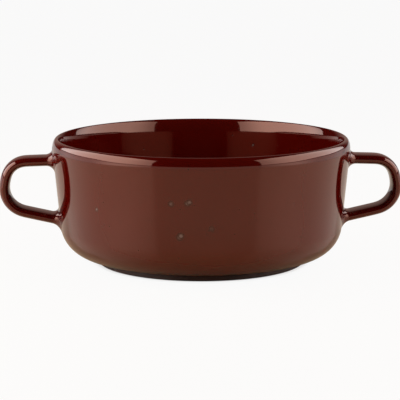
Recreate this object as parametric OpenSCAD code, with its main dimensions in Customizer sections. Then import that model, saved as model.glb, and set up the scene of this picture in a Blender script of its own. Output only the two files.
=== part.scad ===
// Lug soup bowl in glazed stoneware: a jiggered body on a bare foot ring, with two
// strap handles pulled in a bent loop and luted to the wall with slip.
// Millimetres. Origin at the centre of the foot's underside, +Z up, handles along X.

/* [Bowl] */
// Outside diameter of the rim
rim_d = 150; // [144:0.5:156]
// Height from the table to the top of the lip
bowl_h = 63; // [60.5:0.5:68]
// Thickness of the wall where the lip starts
wall_t = 4.4; // [3.8:0.1:5.2]
// Thickness of the floor
floor_t = 5; // [4:0.1:7]
// Lean of the outside of the wall from upright, in degrees
wall_lean = 5.4; // [4:0.1:6.5]
// Lean of the inside of the wall from upright, in degrees
inner_lean = 4.9; // [4:0.1:6.5]
// Outside radius where the wall turns under
corner_r = 16; // [13:0.5:18]
// Inside radius where the wall meets the floor
inner_corner_r = 16; // [12:0.5:20]
// Rise of the underside outward from the foot, in degrees
under_rise = 16; // [13:0.5:19]
// Height of the lip's rounding on the outside
lip_out_h = 6; // [4:0.1:7]
// Height of the lip's rounding on the inside
lip_in_h = 6.5; // [4:0.1:8]
// Share of the wall's thickness that lies outside the lip's crest
crest_share = 0.68; // [0.5:0.01:0.8]

/* [Foot] */
// How far the foot ring stands in from the outside of the rim
foot_inset = 22.5; // [18:0.5:27]
// Height of the foot ring
foot_h = 2.2; // [1.6:0.1:3.2]
// Width of the foot ring
foot_w = 5; // [3.5:0.1:7]
// Radius on the two edges that meet the table
foot_edge_r = 0.6; // [0.3:0.05:1]

/* [Handles] */
// How far each handle stands out past the rim
handle_reach = 26.9; // [22:0.1:32]
// Width of the strap
strap_w = 15; // [12:0.5:18]
// Thickness of the strap
strap_t = 5.3; // [4.4:0.1:6]
// Depth of the upper arm's centre line at the wall, below the top of the lip
upper_arm_drop = 11.2; // [10.5:0.1:12.5]
// Fall of the upper arm outward from the wall, in degrees
upper_fall = 1.9; // [0:0.1:4]
// Height of the lower arm's centre line at the wall
lower_arm_z = 21.6; // [20.5:0.1:23.5]
// Rise of the lower arm outward from the wall, in degrees
lower_rise = 12.9; // [9:0.1:15]
// Radius of the upper bend at the strap's centre line
upper_bend_r = 10.3; // [8:0.1:12]
// Radius of the lower bend at the strap's centre line
lower_bend_r = 12.4; // [10:0.1:14]
// Lean of the grip outward on its way down, in degrees
grip_lean = 12.9; // [9:0.1:16]
// Least length of the straight grip, for which tight loops get tighter bends
grip_min = 1; // [0.5:0.1:1.5]

/* [Luted roots] */
// Radius of the flare where each arm spreads onto the wall
root_flare_r = 4; // [2:0.1:4.4]
// Thickness of the slip that beds each root on the wall
slip_t = 0.8; // [0.5:0.1:1.2]
// Thickness of the slip at its rim, where it is wiped off
slip_rim_t = 0.2; // [0.15:0.05:0.3]

/* [Hidden] */

// Overrun of the roots into the wall, where it is cut away
overrun = 1.5;
// Colours of the fired glaze, of the slip under it and of the bare clay
glaze_colour = [0.33, 0.12, 0.09];
slip_colour = [0.45, 0.22, 0.16];
clay_colour = [0.16, 0.11, 0.09];
// Exponent of the strap's rounded section, 2 being an ellipse
section_power = 2.5;
// Points round the strap, rings in each bend and in each flare
section_points = 28;
upper_bend_steps = 9;
lower_bend_steps = 11;
flare_steps = 7;
// Fineness of the turned surfaces, degrees in a step of a round, and steps up the lip
turned_fn = 180;
arc_step = 5;
lip_steps = 8;

// Unit normal at an angle in the plane of the outline
function unit(angle) = [cos(angle), sin(angle)];
// Point where the lines n1*p = c1 and n2*p = c2 cross
function meet(n1, c1, n2, c2) =
    let (det = n1.x * n2.y - n1.y * n2.x)
    [(c1 * n2.y - c2 * n1.y) / det, (n1.x * c2 - n2.x * c1) / det];

// The outer wall is a line at wall_at along its normal, and the underside one at under_at
wall_out = unit(-wall_lean);
wall_up = unit(90 - wall_lean);
under_out = unit(under_rise - 90);
// The lip is drawn as two quarter ellipses that lean with the wall and meet at its crest
out_t = wall_t * crest_share;
in_t = wall_t - out_t;
out_slope = tan(wall_lean);
in_slope = tan(inner_lean);
lip_out_lean = lip_out_h * out_slope;
lip_in_lean = lip_in_h * in_slope;
crest_r = rim_d / 2 + lip_out_lean - norm([out_t, lip_out_lean]);
wall_at = wall_out * [crest_r - lip_out_lean + out_t, bowl_h - lip_out_h];
foot_r = rim_d / 2 - foot_inset;
under_at = under_out * [foot_r, foot_h];
corner_c = meet(wall_out, wall_at - corner_r, under_out, under_at - corner_r);
// The inside is a line at inner_at along its normal, and floor_t above the foot's seat
inner_out = unit(-inner_lean);
inner_at = inner_out * [crest_r - lip_in_lean - in_t, bowl_h - lip_in_h];
floor_z = foot_h + floor_t;
inner_c = meet(inner_out, inner_at - inner_corner_r, unit(90), floor_z + inner_corner_r);

// Round stretch of an outline, in steps of about arc_step degrees
function arc(centre, radius, from, to) =
    let (steps = ceil(abs(to - from) / arc_step))
    [for (k = [0 : steps]) centre + radius * unit(from + (to - from) * k / steps)];
// Point of the lip at an angle that runs from 0 where the lip starts to 90 at its crest
function lip_point(thick, height, slope, angle) = [
    crest_r + thick * cos(angle) - height * (1 - sin(angle)) * slope,
    bowl_h - height * (1 - sin(angle))
];
// Direction of the lip's outline at that angle
function lip_run(thick, height, slope, angle) = [
    height * cos(angle) * slope - thick * sin(angle),
    height * cos(angle)
];
// Outer half of the lip, or of a skin laid on it
function lip_out_point(angle, skin) =
    let (run = lip_run(out_t, lip_out_h, out_slope, angle))
    lip_point(out_t, lip_out_h, out_slope, angle) + skin * [run.y, -run.x] / norm(run);
function lip_angle(k) = 90 * k / lip_steps;
// Outside of the bowl from the underside up, or of a skin laid on it
function outer_side(skin = 0) = concat(
    arc(corner_c, corner_r + skin, under_rise - 90, -wall_lean),
    [for (k = [0 : lip_steps]) lip_out_point(lip_angle(k), skin)]
);
// Inside of the bowl from below the crest of the lip down to the floor
inner_side = concat(
    [for (k = [lip_steps - 1 : -1 : 0]) lip_point(-in_t, lip_in_h, in_slope, lip_angle(k))],
    arc(inner_c, inner_corner_r, -inner_lean, -90)
);

module bowl_body() {
    color(glaze_colour)
        rotate_extrude($fn = turned_fn)
            polygon(concat([[0, foot_h], [foot_r, foot_h]], outer_side(), inner_side, [[0, floor_z]]));
}

// A ring with its two lower edges rounded
module foot_ring() {
    inner_r = foot_r - foot_w;
    color(clay_colour)
        rotate_extrude($fn = turned_fn)
            polygon(concat(
                [[foot_r, foot_h], [inner_r, foot_h]],
                arc([inner_r + foot_edge_r, foot_edge_r], foot_edge_r, 180, 270),
                arc([foot_r - foot_edge_r, foot_edge_r], foot_edge_r, -90, 0)
            ));
}

// The strap's centre line runs in the XZ plane: upper arm, upper bend, grip, lower bend,
// lower arm. Each angle is that of the normal on the outside of the loop.
upper_angle = 90 - upper_fall;
lower_angle = lower_rise - 90;
// Points on the outer wall at the height of each arm
function wall_point(z) = meet(wall_out, wall_at, unit(90), z);
upper_foot = wall_point(bowl_h - upper_arm_drop);
lower_foot = wall_point(lower_arm_z);
upper_dir = [cos(upper_fall), -sin(upper_fall)];
lower_dir = unit(lower_rise);
upper_out = unit(upper_angle);
lower_out = unit(lower_angle);
grip_out = unit(grip_lean);
grip_dir = [grip_out.y, -grip_out.x];
// How far a bend's centre lies from the sharp corner it rounds, for each unit of radius
upper_pull = -(upper_out + grip_out) / (1 + upper_out * grip_out);
lower_pull = -(grip_out + lower_out) / (1 + grip_out * lower_out);
// Sharp corners of the loop, with the lower one placed so that a bend of a given radius
// just reaches the handle's outermost point
strap_reach = rim_d / 2 + handle_reach - strap_t / 2;
function lower_corner(radius) = meet(lower_out, lower_out * lower_foot,
    [1, 0], strap_reach - radius * (1 + lower_pull.x));
function upper_corner(radius) = meet(upper_out, upper_out * upper_foot,
    grip_out, grip_out * lower_corner(radius));
// The bends keep their radii unless the loop is too low for both and the least grip
grip_room = (lower_corner(lower_bend_r) - upper_corner(lower_bend_r)) * grip_dir - grip_min;
bends_length = upper_bend_r * tan((upper_angle - grip_lean) / 2)
    + lower_bend_r * tan((grip_lean - lower_angle) / 2);
bend_fit_share = min(1, grip_room / bends_length);
upper_r = upper_bend_r * bend_fit_share;
lower_r = lower_bend_r * bend_fit_share;
upper_bend_c = upper_corner(lower_r) + upper_r * upper_pull;
lower_bend_c = lower_corner(lower_r) + lower_r * lower_pull;

function sign_power(value, power) = sign(value) * pow(abs(value), power);
// Point of the strap's rounded section: across its thickness, then across its width
function section_point(i, flare) =
    let (angle = 360 * i / section_points)
    [
        sign_power(cos(angle), 2 / section_power) * (strap_t / 2 + flare),
        sign_power(sin(angle), 2 / section_power) * (strap_w / 2 + flare)
    ];
// Place of a section point on a centre line that passes a point with a given normal
function strap_point(centre, out, s) = [centre.x + out.x * s.x, s.y, centre.y + out.y * s.x];
// How far the lip stands back from the line of the wall at a height
function lip_setback(z) =
    let (rise_share = min(max((z - bowl_h) / lip_out_h + 1, 0), 1))
    out_t * (1 - sqrt(1 - rise_share * rise_share));
// Distance of a point from the outside of the bowl: its corner, or its wall and lip
function wall_gap(p) =
    let (q = [norm([p.x, p.y]), p.z])
    (q - corner_c) * wall_up < 0 ? norm(q - corner_c) - corner_r
    : wall_out * q - wall_at + lip_setback(q.y) * wall_out.x;
// Slides a point along an arm until it lies the wanted gap off the wall
function slide_to_gap(p, dir, gap, tries = 5) =
    tries == 0 ? p : slide_to_gap(
        p + [dir.x, 0, dir.y] * (gap - wall_gap(p)) / (wall_out * dir), dir, gap, tries - 1);

// The flare is a quarter round between the arm and the wall, wiped off at slip_rim_t
flare_start = acos(1 - slip_rim_t / root_flare_r);
function flare_angle(k) = flare_start + (90 - flare_start) * k / flare_steps;
function flare_gap(k) = root_flare_r * (1 - cos(flare_angle(k)));
function flare_size(k) = root_flare_r * (1 - sin(flare_angle(k)));
// Rings of a root, from inside the wall out to where the flare ends
function root_rings(foot, out, dir) = [
    for (k = [-1 : flare_steps])
        let (gap = k < 0 ? -overrun : flare_gap(k), flare = flare_size(max(k, 0)))
        [
            for (i = [0 : section_points - 1])
                slide_to_gap(strap_point(foot, out, section_point(i, flare)), dir, gap)
        ]
];
// Rings of a bend, from one normal angle to the other
function bend_rings(centre, radius, from, to, steps) = [
    for (k = [0 : steps])
        let (out = unit(from + (to - from) * k / steps))
        [
            for (i = [0 : section_points - 1])
                strap_point(centre + radius * out, out, section_point(i, 0))
        ]
];
function reversed(list) = [for (i = [len(list) - 1 : -1 : 0]) list[i]];

// Closed skin over a row of rings with equal counts of points
module loft(rings) {
    count = len(rings[0]);
    last = (len(rings) - 1) * count;
    function at(ring, i) = ring * count + i % count;
    polyhedron(
        points = [for (ring = rings, p = ring) p],
        faces = concat(
            [[for (i = [count - 1 : -1 : 0]) i]],
            [for (r = [0 : len(rings) - 2], i = [0 : count - 1])
                [at(r, i), at(r, i + 1), at(r + 1, i + 1)]],
            [for (r = [0 : len(rings) - 2], i = [0 : count - 1])
                [at(r, i), at(r + 1, i + 1), at(r + 1, i)]],
            [[for (i = [0 : count - 1]) last + i]]
        ),
        convexity = 4
    );
}

upper_root = root_rings(upper_foot, upper_out, upper_dir);
lower_root = root_rings(lower_foot, lower_out, lower_dir);

// The solid that the outer wall bounds, or that a skin on the wall bounds
module wall_solid(skin = 0) {
    side = outer_side(skin);
    rotate_extrude($fn = turned_fn)
        polygon(concat([[0, side[0].y]], side, [[0, side[len(side) - 1].y]]));
}

// One strap for the right side, cut to bed on the slip
module handle() {
    color(glaze_colour)
        difference() {
            loft(concat(
                upper_root,
                bend_rings(upper_bend_c, upper_r, upper_angle, grip_lean, upper_bend_steps),
                bend_rings(lower_bend_c, lower_r, grip_lean, lower_angle, lower_bend_steps),
                reversed(lower_root)
            ));
            wall_solid(slip_t);
        }
}

// The slip between the wall and one root, with its rim wiped into the flare
module slip_joint(root) {
    color(slip_colour)
        intersection() {
            loft(root);
            difference() {
                wall_solid(slip_t);
                wall_solid();
            }
        }
}

module on_left() {
    mirror([1, 0, 0]) children();
}

module right_handle() handle();
module left_handle() on_left() handle();
module right_upper_slip_joint() slip_joint(upper_root);
module right_lower_slip_joint() slip_joint(reversed(lower_root));
module left_upper_slip_joint() on_left() slip_joint(upper_root);
module left_lower_slip_joint() on_left() slip_joint(reversed(lower_root));

bowl_body();
foot_ring();
left_handle();
right_handle();
left_upper_slip_joint();
left_lower_slip_joint();
right_upper_slip_joint();
right_lower_slip_joint();
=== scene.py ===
"""Looks of the lug soup bowl: a jiggered stoneware bowl in a glossy red-brown glaze, with two
pulled strap handles luted on and a bare foot ring. The object's lengths are in millimetres in
the CAD frame and its angles in degrees. Meshes and all that light them are in metres."""
import math

import bpy
import numpy as np
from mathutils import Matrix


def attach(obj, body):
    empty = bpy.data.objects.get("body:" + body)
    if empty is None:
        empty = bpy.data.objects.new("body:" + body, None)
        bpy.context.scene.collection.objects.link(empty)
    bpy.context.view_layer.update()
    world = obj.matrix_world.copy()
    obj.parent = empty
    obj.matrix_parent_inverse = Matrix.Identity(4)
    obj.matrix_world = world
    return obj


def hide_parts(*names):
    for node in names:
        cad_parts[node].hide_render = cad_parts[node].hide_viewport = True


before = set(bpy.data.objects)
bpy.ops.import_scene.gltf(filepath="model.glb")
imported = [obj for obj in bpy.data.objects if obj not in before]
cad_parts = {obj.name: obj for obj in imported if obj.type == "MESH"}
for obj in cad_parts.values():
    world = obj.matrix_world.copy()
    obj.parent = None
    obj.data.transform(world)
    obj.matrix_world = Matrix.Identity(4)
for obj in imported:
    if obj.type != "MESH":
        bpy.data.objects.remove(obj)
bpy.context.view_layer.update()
MM = 0.001

# Sizes of the bowl and its foot
RIM_R = 75.0
BOWL_H = 63.0
WALL_T = 4.4
FLOOR_T = 5.0
WALL_LEAN = 5.4
INNER_LEAN = 4.9
CORNER_R = 16.0
INNER_CORNER_R = 16.0
UNDER_RISE = 16.0
LIP_OUT_H = 6.0
LIP_IN_H = 6.5
CREST_SHARE = 0.68
FOOT_R = 52.5
FOOT_H = 2.2
FOOT_W = 5.0
FOOT_EDGE_R = 0.6
# Sizes of the handles and of their luted roots
HANDLE_REACH = 26.9
STRAP_W = 15.0
STRAP_T = 5.3
UPPER_DROP = 11.2
UPPER_FALL = 1.9
LOWER_Z = 21.6
LOWER_RISE = 12.9
UPPER_BEND_R = 10.3
LOWER_BEND_R = 12.4
GRIP_LEAN = 12.9
FLARE_R = 4.0
SLIP_T = 0.8
SECTION_POWER = 2.5
# A pulled strap eases into its bends: their curvature is blurred by this much, and the blur's
# bell curve is cut off at so many times it
BEND_SOFTNESS = 1.6
BLUR_REACH = 4
# Fineness of the meshes: points round, angles of steps, gaps between points, rings and steps
TURNS = 336
SECTION_POINTS = 96
SECTION_SAMPLES = 4001
ARC_STEP = 3.0
EDGE_STEP = 10.0
UNDER_GAP = 6.0
SIDE_GAP = 2.0
FOOT_GAP = 0.8
LIP_OUT_STEPS = 30
LIP_IN_STEPS = 36
LINE_STEP = 0.1
SLIP_RINGS = 8
UPPER_ARM_STEPS = 5
GRIP_STEPS = 66
LOWER_ARM_STEPS = 8
# A strap's evenly spaced rings start this far before its first bend and end as far past its last
BEND_MARGIN = 5.0
# Rounds in which a root's points settle on the wall
ROOT_ROUNDS = 8
SHARP_ANGLE = 40.0
# Points closer than this are one
TOUCH = 1e-9


def unit(angle):
    """Unit vector at an angle in degrees."""
    return np.array([math.cos(math.radians(angle)), math.sin(math.radians(angle))])


def meet(n1, c1, n2, c2):
    """Point where the lines n1*p = c1 and n2*p = c2 cross."""
    return np.linalg.solve(np.array([n1, n2]), np.array([c1, c2]))


def arc(centre, radius, start, end, step=ARC_STEP):
    """Points of an arc, about a step of degrees apart."""
    count = max(2, math.ceil(abs(end - start) / step))
    return [centre + radius * unit(start + (end - start) * k / count) for k in range(count + 1)]


def filled(points, gap):
    """The same outline with points added wherever two are further apart than a gap."""
    out = [points[0]]
    for a, b in zip(points, points[1:]):
        count = max(1, math.ceil(np.linalg.norm(b - a) / gap))
        out += [a + (b - a) * k / count for k in range(1, count + 1)]
    return out


# The bowl's outline as (radius, height), from the same construction as the solid. Its straight
# stretches lie on lines OUT * point = AT
WALL_OUT = unit(-WALL_LEAN)
WALL_UP = unit(90 - WALL_LEAN)
UNDER_OUT = unit(UNDER_RISE - 90)
OUT_SLOPE = math.tan(math.radians(WALL_LEAN))
IN_SLOPE = math.tan(math.radians(INNER_LEAN))
OUT_T = WALL_T * CREST_SHARE
IN_T = WALL_T - OUT_T
OUT_RUN = LIP_OUT_H * OUT_SLOPE
IN_RUN = LIP_IN_H * IN_SLOPE
CREST_R = RIM_R + OUT_RUN - math.hypot(OUT_T, OUT_RUN)
WALL_AT = WALL_OUT @ np.array([CREST_R - OUT_RUN + OUT_T, BOWL_H - LIP_OUT_H])
UNDER_AT = UNDER_OUT @ np.array([FOOT_R, FOOT_H])
CORNER_C = meet(WALL_OUT, WALL_AT - CORNER_R, UNDER_OUT, UNDER_AT - CORNER_R)
INNER_OUT = unit(-INNER_LEAN)
INNER_AT = INNER_OUT @ np.array([CREST_R - IN_RUN - IN_T, BOWL_H - LIP_IN_H])
FLOOR_Z = FOOT_H + FLOOR_T
INNER_C = meet(INNER_OUT, INNER_AT - INNER_CORNER_R, unit(90), FLOOR_Z + INNER_CORNER_R)
FOOT_IN_R = FOOT_R - FOOT_W


def mesh_object(name, verts, faces, sharp=SHARP_ANGLE):
    """A smooth closed mesh object, its faces turned outward. Edges past an angle stay sharp."""
    co = np.asarray(verts)
    mesh = bpy.data.meshes.new(name)
    mesh.from_pydata([tuple(v) for v in co * MM], [], faces)
    mesh.validate()
    fans = np.array([(f[0], f[i], f[i + 1]) for f in faces for i in range(1, len(f) - 1)])
    a, b, c = (co[fans[:, k]] for k in range(3))
    if np.sum(a * np.cross(b, c)) < 0:
        mesh.flip_normals()
    mesh.shade_smooth()
    if sharp:
        mesh.set_sharp_from_angle(angle=math.radians(sharp))
    obj = bpy.data.objects.new(name, mesh)
    bpy.context.scene.collection.objects.link(obj)
    return obj


def lathe(name, outline):
    """Turns an outline of (radius, height) points round the Z axis. A closed outline has its
    first point again at its end; an open one starts and ends on the axis."""
    closed = np.linalg.norm(outline[0] - outline[-1]) < TOUCH
    verts, rings = [], []
    for r, z in outline[:-1] if closed else outline:
        if r < TOUCH:
            rings.append([len(verts)] * TURNS)
            verts.append((0.0, 0.0, z))
        else:
            rings.append(list(range(len(verts), len(verts) + TURNS)))
            for k in range(TURNS):
                a = 2 * math.pi * k / TURNS
                verts.append((r * math.cos(a), r * math.sin(a), z))
    faces = []
    for low, high in list(zip(rings, rings[1:])) + ([(rings[-1], rings[0])] if closed else []):
        for k in range(TURNS):
            m = (k + 1) % TURNS
            # A ring on the axis is one point, so its faces are triangles
            faces.append(list(dict.fromkeys((low[k], low[m], high[m], high[k]))))
    return mesh_object(name, verts, faces)


def lip(thick, height, slope, start, end, steps):
    """Quarter of an ellipse from a leaning wall up to the crest of the lip, or down again."""
    out = []
    for k in range(steps + 1):
        across, up = unit(start + (end - start) * k / steps)
        out.append(np.array([CREST_R + thick * across - height * (1 - up) * slope,
                             BOWL_H - height * (1 - up)]))
    return out


def bowl_outline():
    """From the middle of the underside, up the outside, over the lip, to the middle inside."""
    under = filled([np.array([0.0, FOOT_H]), np.array([FOOT_IN_R, FOOT_H]),
                    np.array([FOOT_R, FOOT_H])], UNDER_GAP)
    side = (arc(CORNER_C, CORNER_R, UNDER_RISE - 90, -WALL_LEAN)
            + lip(OUT_T, LIP_OUT_H, OUT_SLOPE, 0, 90, LIP_OUT_STEPS)
            + lip(-IN_T, LIP_IN_H, IN_SLOPE, 90, 0, LIP_IN_STEPS)[1:]
            + arc(INNER_C, INNER_CORNER_R, -INNER_LEAN, -90))
    return under[:-1] + filled([under[-1]] + side + [np.array([0.0, FLOOR_Z])], SIDE_GAP)


def foot_outline():
    """Section of the foot ring, with its two lower edges rounded."""
    inner_c = np.array([FOOT_IN_R + FOOT_EDGE_R, FOOT_EDGE_R])
    outer_c = np.array([FOOT_R - FOOT_EDGE_R, FOOT_EDGE_R])
    top = np.array([FOOT_R, FOOT_H])
    return filled([top, np.array([FOOT_IN_R, FOOT_H])]
                  + arc(inner_c, FOOT_EDGE_R, 180, 270, EDGE_STEP)
                  + arc(outer_c, FOOT_EDGE_R, -90, 0, EDGE_STEP) + [top], FOOT_GAP)


bowl_body = lathe("glazed_bowl_body", bowl_outline())
foot_ring = lathe("bare_foot_ring", foot_outline())

# The right strap's centre line, in the XZ plane: arm, bend, grip, bend, arm. An OUT is the
# direction from the loop's inside to its outside, a PULL leads from a corner to its bend's centre
UPPER_ANGLE = 90 - UPPER_FALL
LOWER_ANGLE = LOWER_RISE - 90
UPPER_FOOT = meet(WALL_OUT, WALL_AT, unit(90), BOWL_H - UPPER_DROP)
LOWER_FOOT = meet(WALL_OUT, WALL_AT, unit(90), LOWER_Z)
GRIP_OUT = unit(GRIP_LEAN)
UPPER_OUT = unit(UPPER_ANGLE)
LOWER_OUT = unit(LOWER_ANGLE)
UPPER_PULL = -(UPPER_OUT + GRIP_OUT) / (1 + UPPER_OUT @ GRIP_OUT)
LOWER_PULL = -(GRIP_OUT + LOWER_OUT) / (1 + GRIP_OUT @ LOWER_OUT)
STRAP_REACH = RIM_R + HANDLE_REACH - STRAP_T / 2
LOWER_CORNER = meet(LOWER_OUT, LOWER_OUT @ LOWER_FOOT,
                    np.array([1.0, 0.0]), STRAP_REACH - LOWER_BEND_R * (1 + LOWER_PULL[0]))
UPPER_CORNER = meet(UPPER_OUT, UPPER_OUT @ UPPER_FOOT, GRIP_OUT, GRIP_OUT @ LOWER_CORNER)


def centre_line():
    """Lengths along the strap's centre line, its points, their outward angles, and the lengths
    at which it starts, changes between straight and bent, and ends."""
    upper_c = UPPER_CORNER + UPPER_BEND_R * UPPER_PULL
    lower_c = LOWER_CORNER + LOWER_BEND_R * LOWER_PULL
    a = upper_c + UPPER_BEND_R * UPPER_OUT
    b = upper_c + UPPER_BEND_R * GRIP_OUT
    c = lower_c + LOWER_BEND_R * GRIP_OUT
    d = lower_c + LOWER_BEND_R * LOWER_OUT
    stops = np.cumsum([0, np.linalg.norm(a - UPPER_FOOT),
                       UPPER_BEND_R * math.radians(UPPER_ANGLE - GRIP_LEAN),
                       np.linalg.norm(c - b),
                       LOWER_BEND_R * math.radians(GRIP_LEAN - LOWER_ANGLE),
                       np.linalg.norm(LOWER_FOOT - d)])
    s = np.linspace(0, stops[-1], int(stops[-1] / LINE_STEP))
    out = np.interp(s, stops, np.repeat([UPPER_ANGLE, GRIP_LEAN, LOWER_ANGLE], 2))
    ds = s[1] - s[0]
    half = int(BLUR_REACH * BEND_SOFTNESS / ds)
    kernel = np.exp(-0.5 * (np.arange(-half, half + 1) * ds / BEND_SOFTNESS) ** 2)
    out = np.convolve(np.pad(out, half, mode="edge"), kernel / kernel.sum(), mode="valid")
    heading = np.radians(out - 90)
    steps = np.stack([np.cos(heading), np.sin(heading)], axis=1) * ds
    line = UPPER_FOOT + np.concatenate([[[0, 0]],
                                        np.cumsum((steps[1:] + steps[:-1]) / 2, axis=0)])
    line += np.outer(s / s[-1], LOWER_FOOT - line[-1])
    return s, line, out, stops


def section():
    """Points of the strap's section, evenly spaced round it: across thickness, across width,
    each from -1 to 1."""
    t = np.linspace(0, 2 * math.pi, SECTION_SAMPLES)
    x = np.sign(np.cos(t)) * np.abs(np.cos(t)) ** (2 / SECTION_POWER)
    y = np.sign(np.sin(t)) * np.abs(np.sin(t)) ** (2 / SECTION_POWER)
    run = np.hypot(np.diff(x) * STRAP_T, np.diff(y) * STRAP_W)
    length = np.concatenate([[0], np.cumsum(run)])
    even = np.linspace(0, length[-1], SECTION_POINTS, endpoint=False)
    return np.stack([np.interp(even, length, x), np.interp(even, length, y)], axis=1)


SECTION = section()


def wall_gap(p):
    """Distance of points from the outside of the wall, and the wall's normals there."""
    q = np.stack([np.hypot(p[:, 0], p[:, 1]), p[:, 2]], axis=1)
    d = q - CORNER_C
    far = np.linalg.norm(d, axis=1)
    in_corner = d @ WALL_UP < 0
    gap = np.where(in_corner, far - CORNER_R, q @ WALL_OUT - WALL_AT)
    out = np.where(in_corner[:, None], d / far[:, None], WALL_OUT)
    around = p[:, :2] / q[:, :1]
    return gap, np.stack([around[:, 0] * out[:, 0], around[:, 1] * out[:, 0], out[:, 1]], axis=1)


def ring_at(centre, out_angle, grow=0.0):
    """One ring of the strap round a point of its centre line."""
    out = unit(out_angle)
    across = SECTION[:, 0] * (STRAP_T / 2 + grow)
    wide = SECTION[:, 1] * (STRAP_W / 2 + grow)
    return np.stack([centre[0] + out[0] * across, wide, centre[1] + out[1] * across], axis=1)


def root_ring(foot, out_angle, direction, flare):
    """A ring of a root: flare degrees along the quarter round from the wall to the arm. Its
    points slide along the arm until their distance from the wall is right."""
    gap = FLARE_R * (1 - math.cos(math.radians(flare)))
    ring = ring_at(foot, out_angle, FLARE_R * (1 - math.sin(math.radians(flare))))
    along = np.array([direction[0], 0.0, direction[1]])
    for _ in range(ROOT_ROUNDS):
        off, normal = wall_gap(ring)
        ring += along * ((gap - off) / (normal @ along))[:, None]
    return ring


def between(start, end, steps):
    """The rings that part the way from one ring to another into even steps."""
    return [start + (end - start) * k / steps for k in range(1, steps)]


def handle_rings():
    """Rings of one whole handle from wall to wall, and the two that end its slip joints."""
    s, line, out, stops = centre_line()
    split = math.degrees(math.acos(1 - SLIP_T / FLARE_R))
    flares = np.concatenate([np.linspace(0, split, SLIP_RINGS + 1),
                             np.linspace(split, 90, SLIP_RINGS + 1)[1:]])
    top = [root_ring(UPPER_FOOT, UPPER_ANGLE, unit(-UPPER_FALL), f) for f in flares]
    low = [root_ring(LOWER_FOOT, LOWER_ANGLE, unit(LOWER_RISE), f) for f in flares]
    places = np.linspace(stops[1] - BEND_MARGIN, stops[-2] + BEND_MARGIN, GRIP_STEPS + 1)
    middle = [ring_at(np.array([np.interp(v, s, line[:, 0]), np.interp(v, s, line[:, 1])]),
                      np.interp(v, s, out)) for v in places]
    rings = (top + between(top[-1], middle[0], UPPER_ARM_STEPS)
             + middle + between(middle[-1], low[-1], LOWER_ARM_STEPS) + low[::-1])
    return np.array(rings), SLIP_RINGS, len(rings) - 1 - SLIP_RINGS


def ring_normals(rings):
    """Smooth normals of a row of rings; at both ends they are the wall's own."""
    around = np.roll(rings, -1, axis=1) - np.roll(rings, 1, axis=1)
    along = np.empty_like(rings)
    along[1:-1] = rings[2:] - rings[:-2]
    along[0], along[-1] = rings[1] - rings[0], rings[-1] - rings[-2]
    normals = np.cross(around, along)
    normals /= np.linalg.norm(normals, axis=2, keepdims=True)
    middle = len(rings) // 2
    if np.sum(normals[middle] * (rings[middle] - rings[middle].mean(axis=0))) < 0:
        normals = -normals
    normals[0] = wall_gap(rings[0])[1]
    normals[-1] = wall_gap(rings[-1])[1]
    return normals


def tube(name, rings, normals, mirrored):
    """A closed mesh over a row of rings, with its ends filled from their middles."""
    rings, normals = rings.copy(), normals.copy()
    if mirrored:
        rings[:, :, 0] *= -1
        normals[:, :, 0] *= -1
    count = rings.shape[1]
    verts = list(rings.reshape(-1, 3))
    smooth = list(normals.reshape(-1, 3))
    faces = []
    for low in range(0, (len(rings) - 1) * count, count):
        high = low + count
        for i in range(count):
            m = (i + 1) % count
            faces.append((low + i, low + m, high + m, high + i))
    for ring, base, step in ((rings[0], 0, -1), (rings[-1], (len(rings) - 1) * count, 1)):
        middle = len(verts)
        verts.append(ring.mean(axis=0))
        smooth.append(np.array([0.0, 0.0, 1.0]))
        for i in range(count):
            faces.append((middle,) + (base + i, base + (i + 1) % count)[::step])
    obj = mesh_object(name, verts, faces, sharp=0)
    obj.data.normals_split_custom_set_from_vertices([tuple(n) for n in smooth])
    return obj


RINGS, UPPER_SPLIT, LOWER_SPLIT = handle_rings()
NORMALS = ring_normals(RINGS)
straps, joints = [], []
for side in ("left", "right"):
    for part, first, last in (("upper_slip_joint", 0, UPPER_SPLIT),
                              ("handle", UPPER_SPLIT, LOWER_SPLIT),
                              ("lower_slip_joint", LOWER_SPLIT, len(RINGS) - 1)):
        rows = slice(first, last + 1)
        piece = tube(f"glazed_{side}_{part}", RINGS[rows], NORMALS[rows], side == "left")
        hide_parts(f"{side}_{part}")
        (straps if part == "handle" else joints).append(piece)
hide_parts("bowl_body")
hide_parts("foot_ring")


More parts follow.
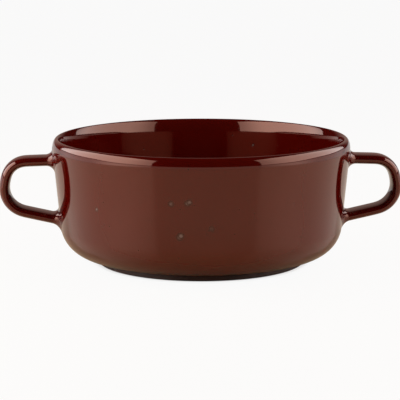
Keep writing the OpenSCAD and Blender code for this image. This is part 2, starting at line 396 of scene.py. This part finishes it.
class Graph:
    """Short calls for the nodes of one material or world."""

    def __init__(self, owner):
        owner.use_nodes = True
        self.tree = owner.node_tree
        self.tree.nodes.clear()

    def add(self, kind, inputs=None, **settings):
        """A node; an input is a value, or the output that feeds it."""
        n = self.tree.nodes.new(kind)
        for key, value in settings.items():
            setattr(n, key, value)
        for key, value in (inputs or {}).items():
            if isinstance(value, bpy.types.NodeSocket):
                self.tree.links.new(value, n.inputs[key])
            else:
                n.inputs[key].default_value = value
        return n

    def math(self, operation, a, b):
        return self.add("ShaderNodeMath", {0: a, 1: b}, operation=operation).outputs[0]

    def vector(self, operation, a, b, output="Vector"):
        n = self.add("ShaderNodeVectorMath", {0: a, 1: b}, operation=operation)
        return n.outputs[output]

    def ramp(self, value, run, result=(0.0, 1.0), kind="SMOOTHSTEP"):
        """A value's run turned into the result's, and held level before and after it."""
        n = self.add("ShaderNodeMapRange", {"Value": value, "From Min": run[0], "From Max": run[1],
                                            "To Min": result[0], "To Max": result[1]},
                     interpolation_type=kind)
        return n.outputs["Result"]

    def mix(self, share, a, b):
        """Colour a, with a share of colour b."""
        # Inputs 6 and 7 and output 2 are the node's colours
        return self.add("ShaderNodeMix", {"Factor": share, 6: a, 7: b}, data_type="RGBA").outputs[2]

    def noise(self, vector, scale, detail=2.0, rough=0.5, output="Fac"):
        n = self.add("ShaderNodeTexNoise", {"Vector": vector, "Scale": scale, "Detail": detail,
                                            "Roughness": rough})
        return n.outputs[output]

    def bump(self, height, distance, normal=None):
        """Normals of a height from 0 to 1 over a distance, on top of other normals."""
        under = {} if normal is None else {"Normal": normal}
        n = self.add("ShaderNodeBump", {"Height": height, "Distance": distance, "Strength": 1.0,
                                        **under})
        return n.outputs["Normal"]

    def place(self):
        """The object's own coordinates, in metres."""
        return self.add("ShaderNodeTexCoord").outputs["Object"]

    def surface(self, shader, output="ShaderNodeOutputMaterial"):
        self.add(output, {"Surface": shader.outputs[0]})


def rgb(r, g, b):
    return (r, g, b, 1.0)


WHITE = rgb(1.0, 1.0, 1.0)

# Camera: a long lens from the front, a little to the left of the bowl and above its rim. It
# stands at CAMERA_AT; its shift is a share of the frame, whose side is in pixels
CAMERA_FAR = 850.0
CAMERA_Z = 180.07
CAMERA_TURN = math.radians(2.85)
CAMERA_PITCH = math.radians(10.14)
CAMERA_LENS = 152.94
CAMERA_SENSOR = 36.0
CAMERA_SHIFT = (-0.00314, 0.01218)
CAMERA_AT = np.array([-CAMERA_FAR * math.sin(CAMERA_TURN),
                      -CAMERA_FAR * math.cos(CAMERA_TURN), CAMERA_Z])
PHOTO_SIDE = 400

# Glaze: colours, finish, and for each pattern its scale and the RUN of its values over which
# it shows; over ROUGH_RUN the roughness goes from its lowest to its highest. Depths are in metres
GLAZE_DARK = rgb(0.058, 0.0010, 0.0003)
GLAZE_LIGHT = rgb(0.070, 0.0016, 0.0005)
GLAZE_TINT = rgb(1.0, 0.54, 0.41)
GLAZE_SPECULAR = 0.9
GLAZE_IOR = 1.5
GLAZE_ROUGHNESS = (0.035, 0.07)
DRIFT_SCALE = 22.0
DRIFT_RUN = (0.3, 0.7)
ROUGH_RUN = (0.2, 0.8)
GRAIN_SCALE = 260.0
GRAIN_RUN = (0.55, 0.8)
GRAIN_SHARE = 0.5
GRAIN_COLOUR = rgb(0.038, 0.0010, 0.0004)
WAVE_SCALE = 38.0
WAVE_DEPTH = 0.00006
PEEL_SCALE = 620.0
PEEL_DEPTH = 0.0000012
PIT_DEPTH = 0.00002
# Fine specks: the few small cells of a cell pattern that the surface cuts near their middle
FINE_SCALE = 150.0
FINE_RUN = (0.035, 0.055)
FINE_PIT_RUN = (0.03, 0.06)
FINE_SHARE = 0.75
FINE_COLOUR = rgb(0.012, 0.004, 0.003)
# Larger iron specks: pixel in the photograph's frame, read off it, half length, paleness, and
# whether it lies inside
SPECKS = ((187.5, 203.5, 1.6, 0.8, False), (189.5, 202.5, 1.5, 0.8, False),
          (179.5, 237.5, 1.8, 1.0, False), (181.0, 236.0, 1.7, 1.0, False),
          (171.0, 204.0, 1.6, 0.5, False), (96.5, 209.5, 1.1, 1.0, False),
          (211.5, 229.0, 1.5, 0.2, False), (253.0, 145.0, 0.8, 1.0, True))
# A pale core, partly the speck's own colour and partly a painted highlight of its pit, in a darker
# ring, partly iron and partly painted shade round the pit. Their edges fade over these shares of
# the half length
CORE_RUN = (0.25, 0.7)
CORE_HIGHLIGHT_COLOUR = rgb(0.16, 0.11, 0.10)
RING_RUN = (0.7, 1.3)
RING_SHARE = 0.8
RING_IRON_AND_SHADE_COLOUR = rgb(0.022, 0.004, 0.003)
PIT_RUN = (0.6, 1.3)
# How far the outline of a speck wanders, in metres; on average it moves by half of that
WOBBLE = 0.0006
WOBBLE_SCALE = 900.0


def speck_place(px, py, inside):
    """Place, in metres, where the camera's ray through a pixel meets the near wall's outside or
    the far wall's inside."""
    flat = np.array([math.sin(CAMERA_TURN), math.cos(CAMERA_TURN), 0.0])
    right = np.array([math.cos(CAMERA_TURN), -math.sin(CAMERA_TURN), 0.0])
    ahead = flat * math.cos(CAMERA_PITCH) - np.array([0.0, 0.0, math.sin(CAMERA_PITCH)])
    across = px / PHOTO_SIDE - 0.5 + CAMERA_SHIFT[0]
    rise = 0.5 + CAMERA_SHIFT[1] - py / PHOTO_SIDE
    ray = ahead + (across * right + rise * np.cross(right, ahead)) * CAMERA_SENSOR / CAMERA_LENS
    out, at = (INNER_OUT, INNER_AT) if inside else (WALL_OUT, WALL_AT)
    # The wall is a cone: its radius is start + change * t at the ray's point CAMERA_AT + ray * t
    start = (at - out[1] * CAMERA_AT[2]) / out[0]
    change = -out[1] * ray[2] / out[0]
    near, far = sorted(np.roots([ray[:2] @ ray[:2] - change ** 2,
                                 2 * (CAMERA_AT[:2] @ ray[:2] - start * change),
                                 CAMERA_AT[:2] @ CAMERA_AT[:2] - start ** 2]))
    return (CAMERA_AT + ray * (far if inside else near)) * MM


def glaze_material():
    """Glossy red-brown glaze, a little uneven in colour and surface, with iron specks whose pale
    cores and dark rings are partly painted highlight and painted shade.
    """
    material = bpy.data.materials.new("red_brown_glaze")
    g = Graph(material)
    place = g.place()
    drift = g.noise(place, DRIFT_SCALE, detail=3.0)
    grain = g.noise(place, GRAIN_SCALE, detail=4.0, rough=0.65)
    colour = g.mix(g.ramp(drift, DRIFT_RUN), GLAZE_DARK, GLAZE_LIGHT)
    colour = g.mix(g.ramp(grain, GRAIN_RUN, (0.0, GRAIN_SHARE)), colour, GRAIN_COLOUR)
    cells = g.add("ShaderNodeTexVoronoi", {"Vector": place, "Scale": FINE_SCALE}, feature="F1")
    cells = cells.outputs["Distance"]
    colour = g.mix(g.ramp(cells, FINE_RUN, (FINE_SHARE, 0.0)), colour, FINE_COLOUR)
    pits = g.ramp(cells, FINE_PIT_RUN)
    drawn = g.noise(place, WOBBLE_SCALE, output="Color")
    wobble = g.add("ShaderNodeVectorMath", {0: drawn, "Scale": WOBBLE}, operation="SCALE")
    near = g.vector("ADD", place, wobble.outputs["Vector"])
    for px, py, half, highlight_share, inside in SPECKS:
        middle = tuple(v + WOBBLE / 2 for v in speck_place(px, py, inside))
        far = g.vector("DISTANCE", near, middle, "Value")
        core, ring, pit = ([share * half * MM for share in run]
                           for run in (CORE_RUN, RING_RUN, PIT_RUN))
        # Each speck's dark ring is partly iron and partly painted shade, its pale core partly a
        # painted highlight
        colour = g.mix(g.ramp(far, ring, (RING_SHARE, 0.0)), colour, RING_IRON_AND_SHADE_COLOUR)
        colour = g.mix(g.ramp(far, core, (highlight_share, 0.0)), colour, CORE_HIGHLIGHT_COLOUR)
        pits = g.math("MINIMUM", pits, g.ramp(far, pit))
    waves = g.bump(g.noise(place, WAVE_SCALE, detail=1.0), WAVE_DEPTH)
    peel = g.bump(g.noise(place, PEEL_SCALE), PEEL_DEPTH, waves)
    g.surface(g.add("ShaderNodeBsdfPrincipled", {
        "Base Color": colour, "Roughness": g.ramp(drift, ROUGH_RUN, GLAZE_ROUGHNESS, "LINEAR"),
        "Normal": g.bump(pits, PIT_DEPTH, peel), "Specular IOR Level": GLAZE_SPECULAR,
        "Specular Tint": GLAZE_TINT, "IOR": GLAZE_IOR}))
    return material


# Clay of the foot: colours, finish, and its two patterns
CLAY_DARK = rgb(0.050, 0.018, 0.012)
CLAY_LIGHT = rgb(0.072, 0.028, 0.019)
CLAY_ROUGHNESS = (0.45, 0.65)
CLAY_SPECULAR = 0.5
PATCH_SCALE = 60.0
PATCH_RUN = (0.3, 0.7)
SAND_SCALE = 900.0
SAND_RUN = (0.6, 0.75)
SAND_COLOUR = rgb(0.100, 0.060, 0.045)
SAND_DEPTH = 0.00008


def clay_material():
    """Bare dark clay with a sandy grain."""
    material = bpy.data.materials.new("bare_clay")
    g = Graph(material)
    place = g.place()
    sand = g.noise(place, SAND_SCALE, detail=5.0, rough=0.7)
    patch = g.noise(place, PATCH_SCALE, detail=3.0)
    colour = g.mix(g.ramp(patch, PATCH_RUN), CLAY_DARK, CLAY_LIGHT)
    colour = g.mix(g.ramp(sand, SAND_RUN), colour, SAND_COLOUR)
    g.surface(g.add("ShaderNodeBsdfPrincipled", {
        "Base Color": colour, "Roughness": g.ramp(sand, ROUGH_RUN, CLAY_ROUGHNESS, "LINEAR"),
        "Normal": g.bump(sand, SAND_DEPTH), "Specular IOR Level": CLAY_SPECULAR}))
    return material


glaze = glaze_material()
clay = clay_material()
for piece, material, slot in ([(bowl_body, glaze, "glaze"), (foot_ring, clay, "bare_clay")]
                              + [(p, glaze, "glaze") for p in straps]
                              + [(p, glaze, "glazed_slip") for p in joints]):
    piece.data.materials.append(material)
    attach(piece, "root")


# Floor: half its side, its sheet's looks, and the shares of a white glow that it has for the
# camera and, near the bowl and further off, for gloss and glass
FLOOR_HALF = 30.0
SHEET_COLOUR = rgb(0.76, 0.58, 0.36)
SHEET_ROUGHNESS = 0.27
SHEET_SPECULAR = 0.75
FLOOR_GLOW = 0.94
NEAR_SHARE = 0.32
FAR_SHARE = 0.3
# Distances from the middle between which each of these comes up
FLOOR_GLOW_RUN = (0.046, 0.056)
NEAR_RUN = (0.055, 0.16)
FAR_RUN = (0.22, 0.7)


def floor_material():
    """Warm pale sheet with a slight gloss. Most of what the camera sees of it is a glow of its
    own, a part of which gloss and glass see too, more of it further off. It fades under the
    bowl, where the shadow is."""
    material = bpy.data.materials.new("pale_floor")
    g = Graph(material)
    sheet = g.add("ShaderNodeBsdfPrincipled", {
        "Base Color": SHEET_COLOUR, "Roughness": SHEET_ROUGHNESS,
        "Specular IOR Level": SHEET_SPECULAR})
    glow = g.add("ShaderNodeEmission", {"Color": WHITE, "Strength": 1.0})
    ray = g.add("ShaderNodeLightPath").outputs
    far = g.add("ShaderNodeVectorMath", {0: g.place()}, operation="LENGTH").outputs["Value"]
    seen = g.math("MULTIPLY", ray["Is Camera Ray"],
                  g.ramp(far, FLOOR_GLOW_RUN, (0.0, FLOOR_GLOW)))
    mirrored = g.math("MULTIPLY",
                      g.math("MAXIMUM", ray["Is Glossy Ray"], ray["Is Transmission Ray"]),
                      g.math("ADD", g.ramp(far, NEAR_RUN, (0.0, NEAR_SHARE)),
                             g.ramp(far, FAR_RUN, (0.0, FAR_SHARE))))
    g.surface(g.add("ShaderNodeMixShader", {0: g.math("MAXIMUM", seen, mirrored),
                                            1: sheet.outputs[0], 2: glow.outputs[0]}))
    return material


def panel(name, corners, material):
    """A flat piece of the stage with four corners."""
    mesh = bpy.data.meshes.new(name)
    mesh.from_pydata(corners, [], [(0, 1, 2, 3)])
    mesh.materials.append(material)
    obj = bpy.data.objects.new(name, mesh)
    bpy.context.scene.collection.objects.link(obj)
    return obj


floor = panel("floor", [(-FLOOR_HALF, -FLOOR_HALF, 0), (FLOOR_HALF, -FLOOR_HALF, 0),
                        (FLOOR_HALF, FLOOR_HALF, 0), (-FLOOR_HALF, FLOOR_HALF, 0)],
              floor_material())

# A small light tent: its two side walls glow above a dark bar, and less below it
TENT_X = 0.39
LEFT_FRONT = -0.5
RIGHT_FRONT = -0.465
TENT_BACK = 0.35
TENT_TOP = 0.5
LEFT_LEVEL = 1.06
RIGHT_LEVEL = 0.8
CLOTH_RADIANCE = 3.8
SKIRT_RADIANCE = 2.2
# Each cloth glows fully from FULL_FRONT to FULL_BACK, as with lamps behind its middle, and has
# these shares of it at its ends
FULL_FRONT = -0.15
FULL_BACK = 0.18
FRONT_SHARE = 0.5
BACK_SHARE = 0.6
# The bar's thickness, the height of its top at the front and at the back, and the stretch over
# which it rises
BAR_H = 0.014
BAR_FRONT = 0.08
BAR_BACK = 0.1
BAR_RUN = (-0.18, -0.03)
# The skirt dims to a half over this stretch
SKIRT_RUN = (-0.18, 0.0)


def cloth_material(name, front_end, level):
    """Glowing cloth of a tent's wall, with its dark bar."""
    material = bpy.data.materials.new(name)
    g = Graph(material)
    split = g.add("ShaderNodeSeparateXYZ", {0: g.place()}).outputs
    y, z = split["Y"], split["Z"]
    ends = g.math("MULTIPLY", g.ramp(y, (front_end, FULL_FRONT), (FRONT_SHARE, 1.0)),
                  g.ramp(y, (FULL_BACK, TENT_BACK), (1.0, BACK_SHARE)))
    bar = g.ramp(y, BAR_RUN, (BAR_FRONT, BAR_BACK))
    cloth = g.math("MULTIPLY", g.math("GREATER_THAN", z, bar), CLOTH_RADIANCE)
    skirt = g.math("MULTIPLY", g.math("LESS_THAN", z, g.math("SUBTRACT", bar, BAR_H)),
                   g.ramp(y, SKIRT_RUN, (SKIRT_RADIANCE, SKIRT_RADIANCE / 2)))
    glow = g.math("MULTIPLY", g.math("MULTIPLY", ends, level), g.math("ADD", cloth, skirt))
    g.surface(g.add("ShaderNodeEmission", {"Color": WHITE, "Strength": glow}))
    return material


def tent_wall(name, x, front_end, level):
    """One side wall, which the camera doesn't see."""
    obj = panel(name, [(x, front_end, 0.0), (x, TENT_BACK, 0.0),
                       (x, TENT_BACK, TENT_TOP), (x, front_end, TENT_TOP)],
                cloth_material(name + "_cloth", front_end, level))
    obj.visible_camera = False


tent_wall("left_tent_wall", -TENT_X, LEFT_FRONT, LEFT_LEVEL)
tent_wall("right_tent_wall", TENT_X, RIGHT_FRONT, RIGHT_LEVEL)

# World: nearly dark, with a soft warm glow low at the back
GLOW_TOWARDS = (0.0, 0.95, 0.31)
GLOW_COLOUR = rgb(1.0, 0.7, 0.6)
DARK_STRENGTH = 0.02
GLOW_STRENGTH = 0.36
# Nearness to that direction, as a cosine, over which the glow comes up
GLOW_RUN = (0.8, 0.97)

world = bpy.data.worlds.new("studio")
sky = Graph(world)
direction = sky.add("ShaderNodeTexCoord").outputs["Generated"]
nearness = sky.vector("DOT_PRODUCT", direction, GLOW_TOWARDS, "Value")
strength = sky.ramp(nearness, GLOW_RUN, (DARK_STRENGTH, GLOW_STRENGTH))
sky.surface(sky.add("ShaderNodeBackground", {"Color": GLOW_COLOUR, "Strength": strength}),
            "ShaderNodeOutputWorld")
bpy.context.scene.world = world

camera_data = bpy.data.cameras.new("camera")
camera_data.sensor_fit = "HORIZONTAL"
camera_data.sensor_width = CAMERA_SENSOR
camera_data.lens = CAMERA_LENS
camera_data.shift_x, camera_data.shift_y = CAMERA_SHIFT
camera = bpy.data.objects.new("camera", camera_data)
camera.location = tuple(CAMERA_AT * MM)
camera.rotation_euler = (math.pi / 2 - CAMERA_PITCH, 0.0, -CAMERA_TURN)
bpy.context.scene.collection.objects.link(camera)
bpy.context.scene.camera = camera
bpy.context.scene.view_settings.view_transform = "Standard"

bpy.context.view_layer.update()
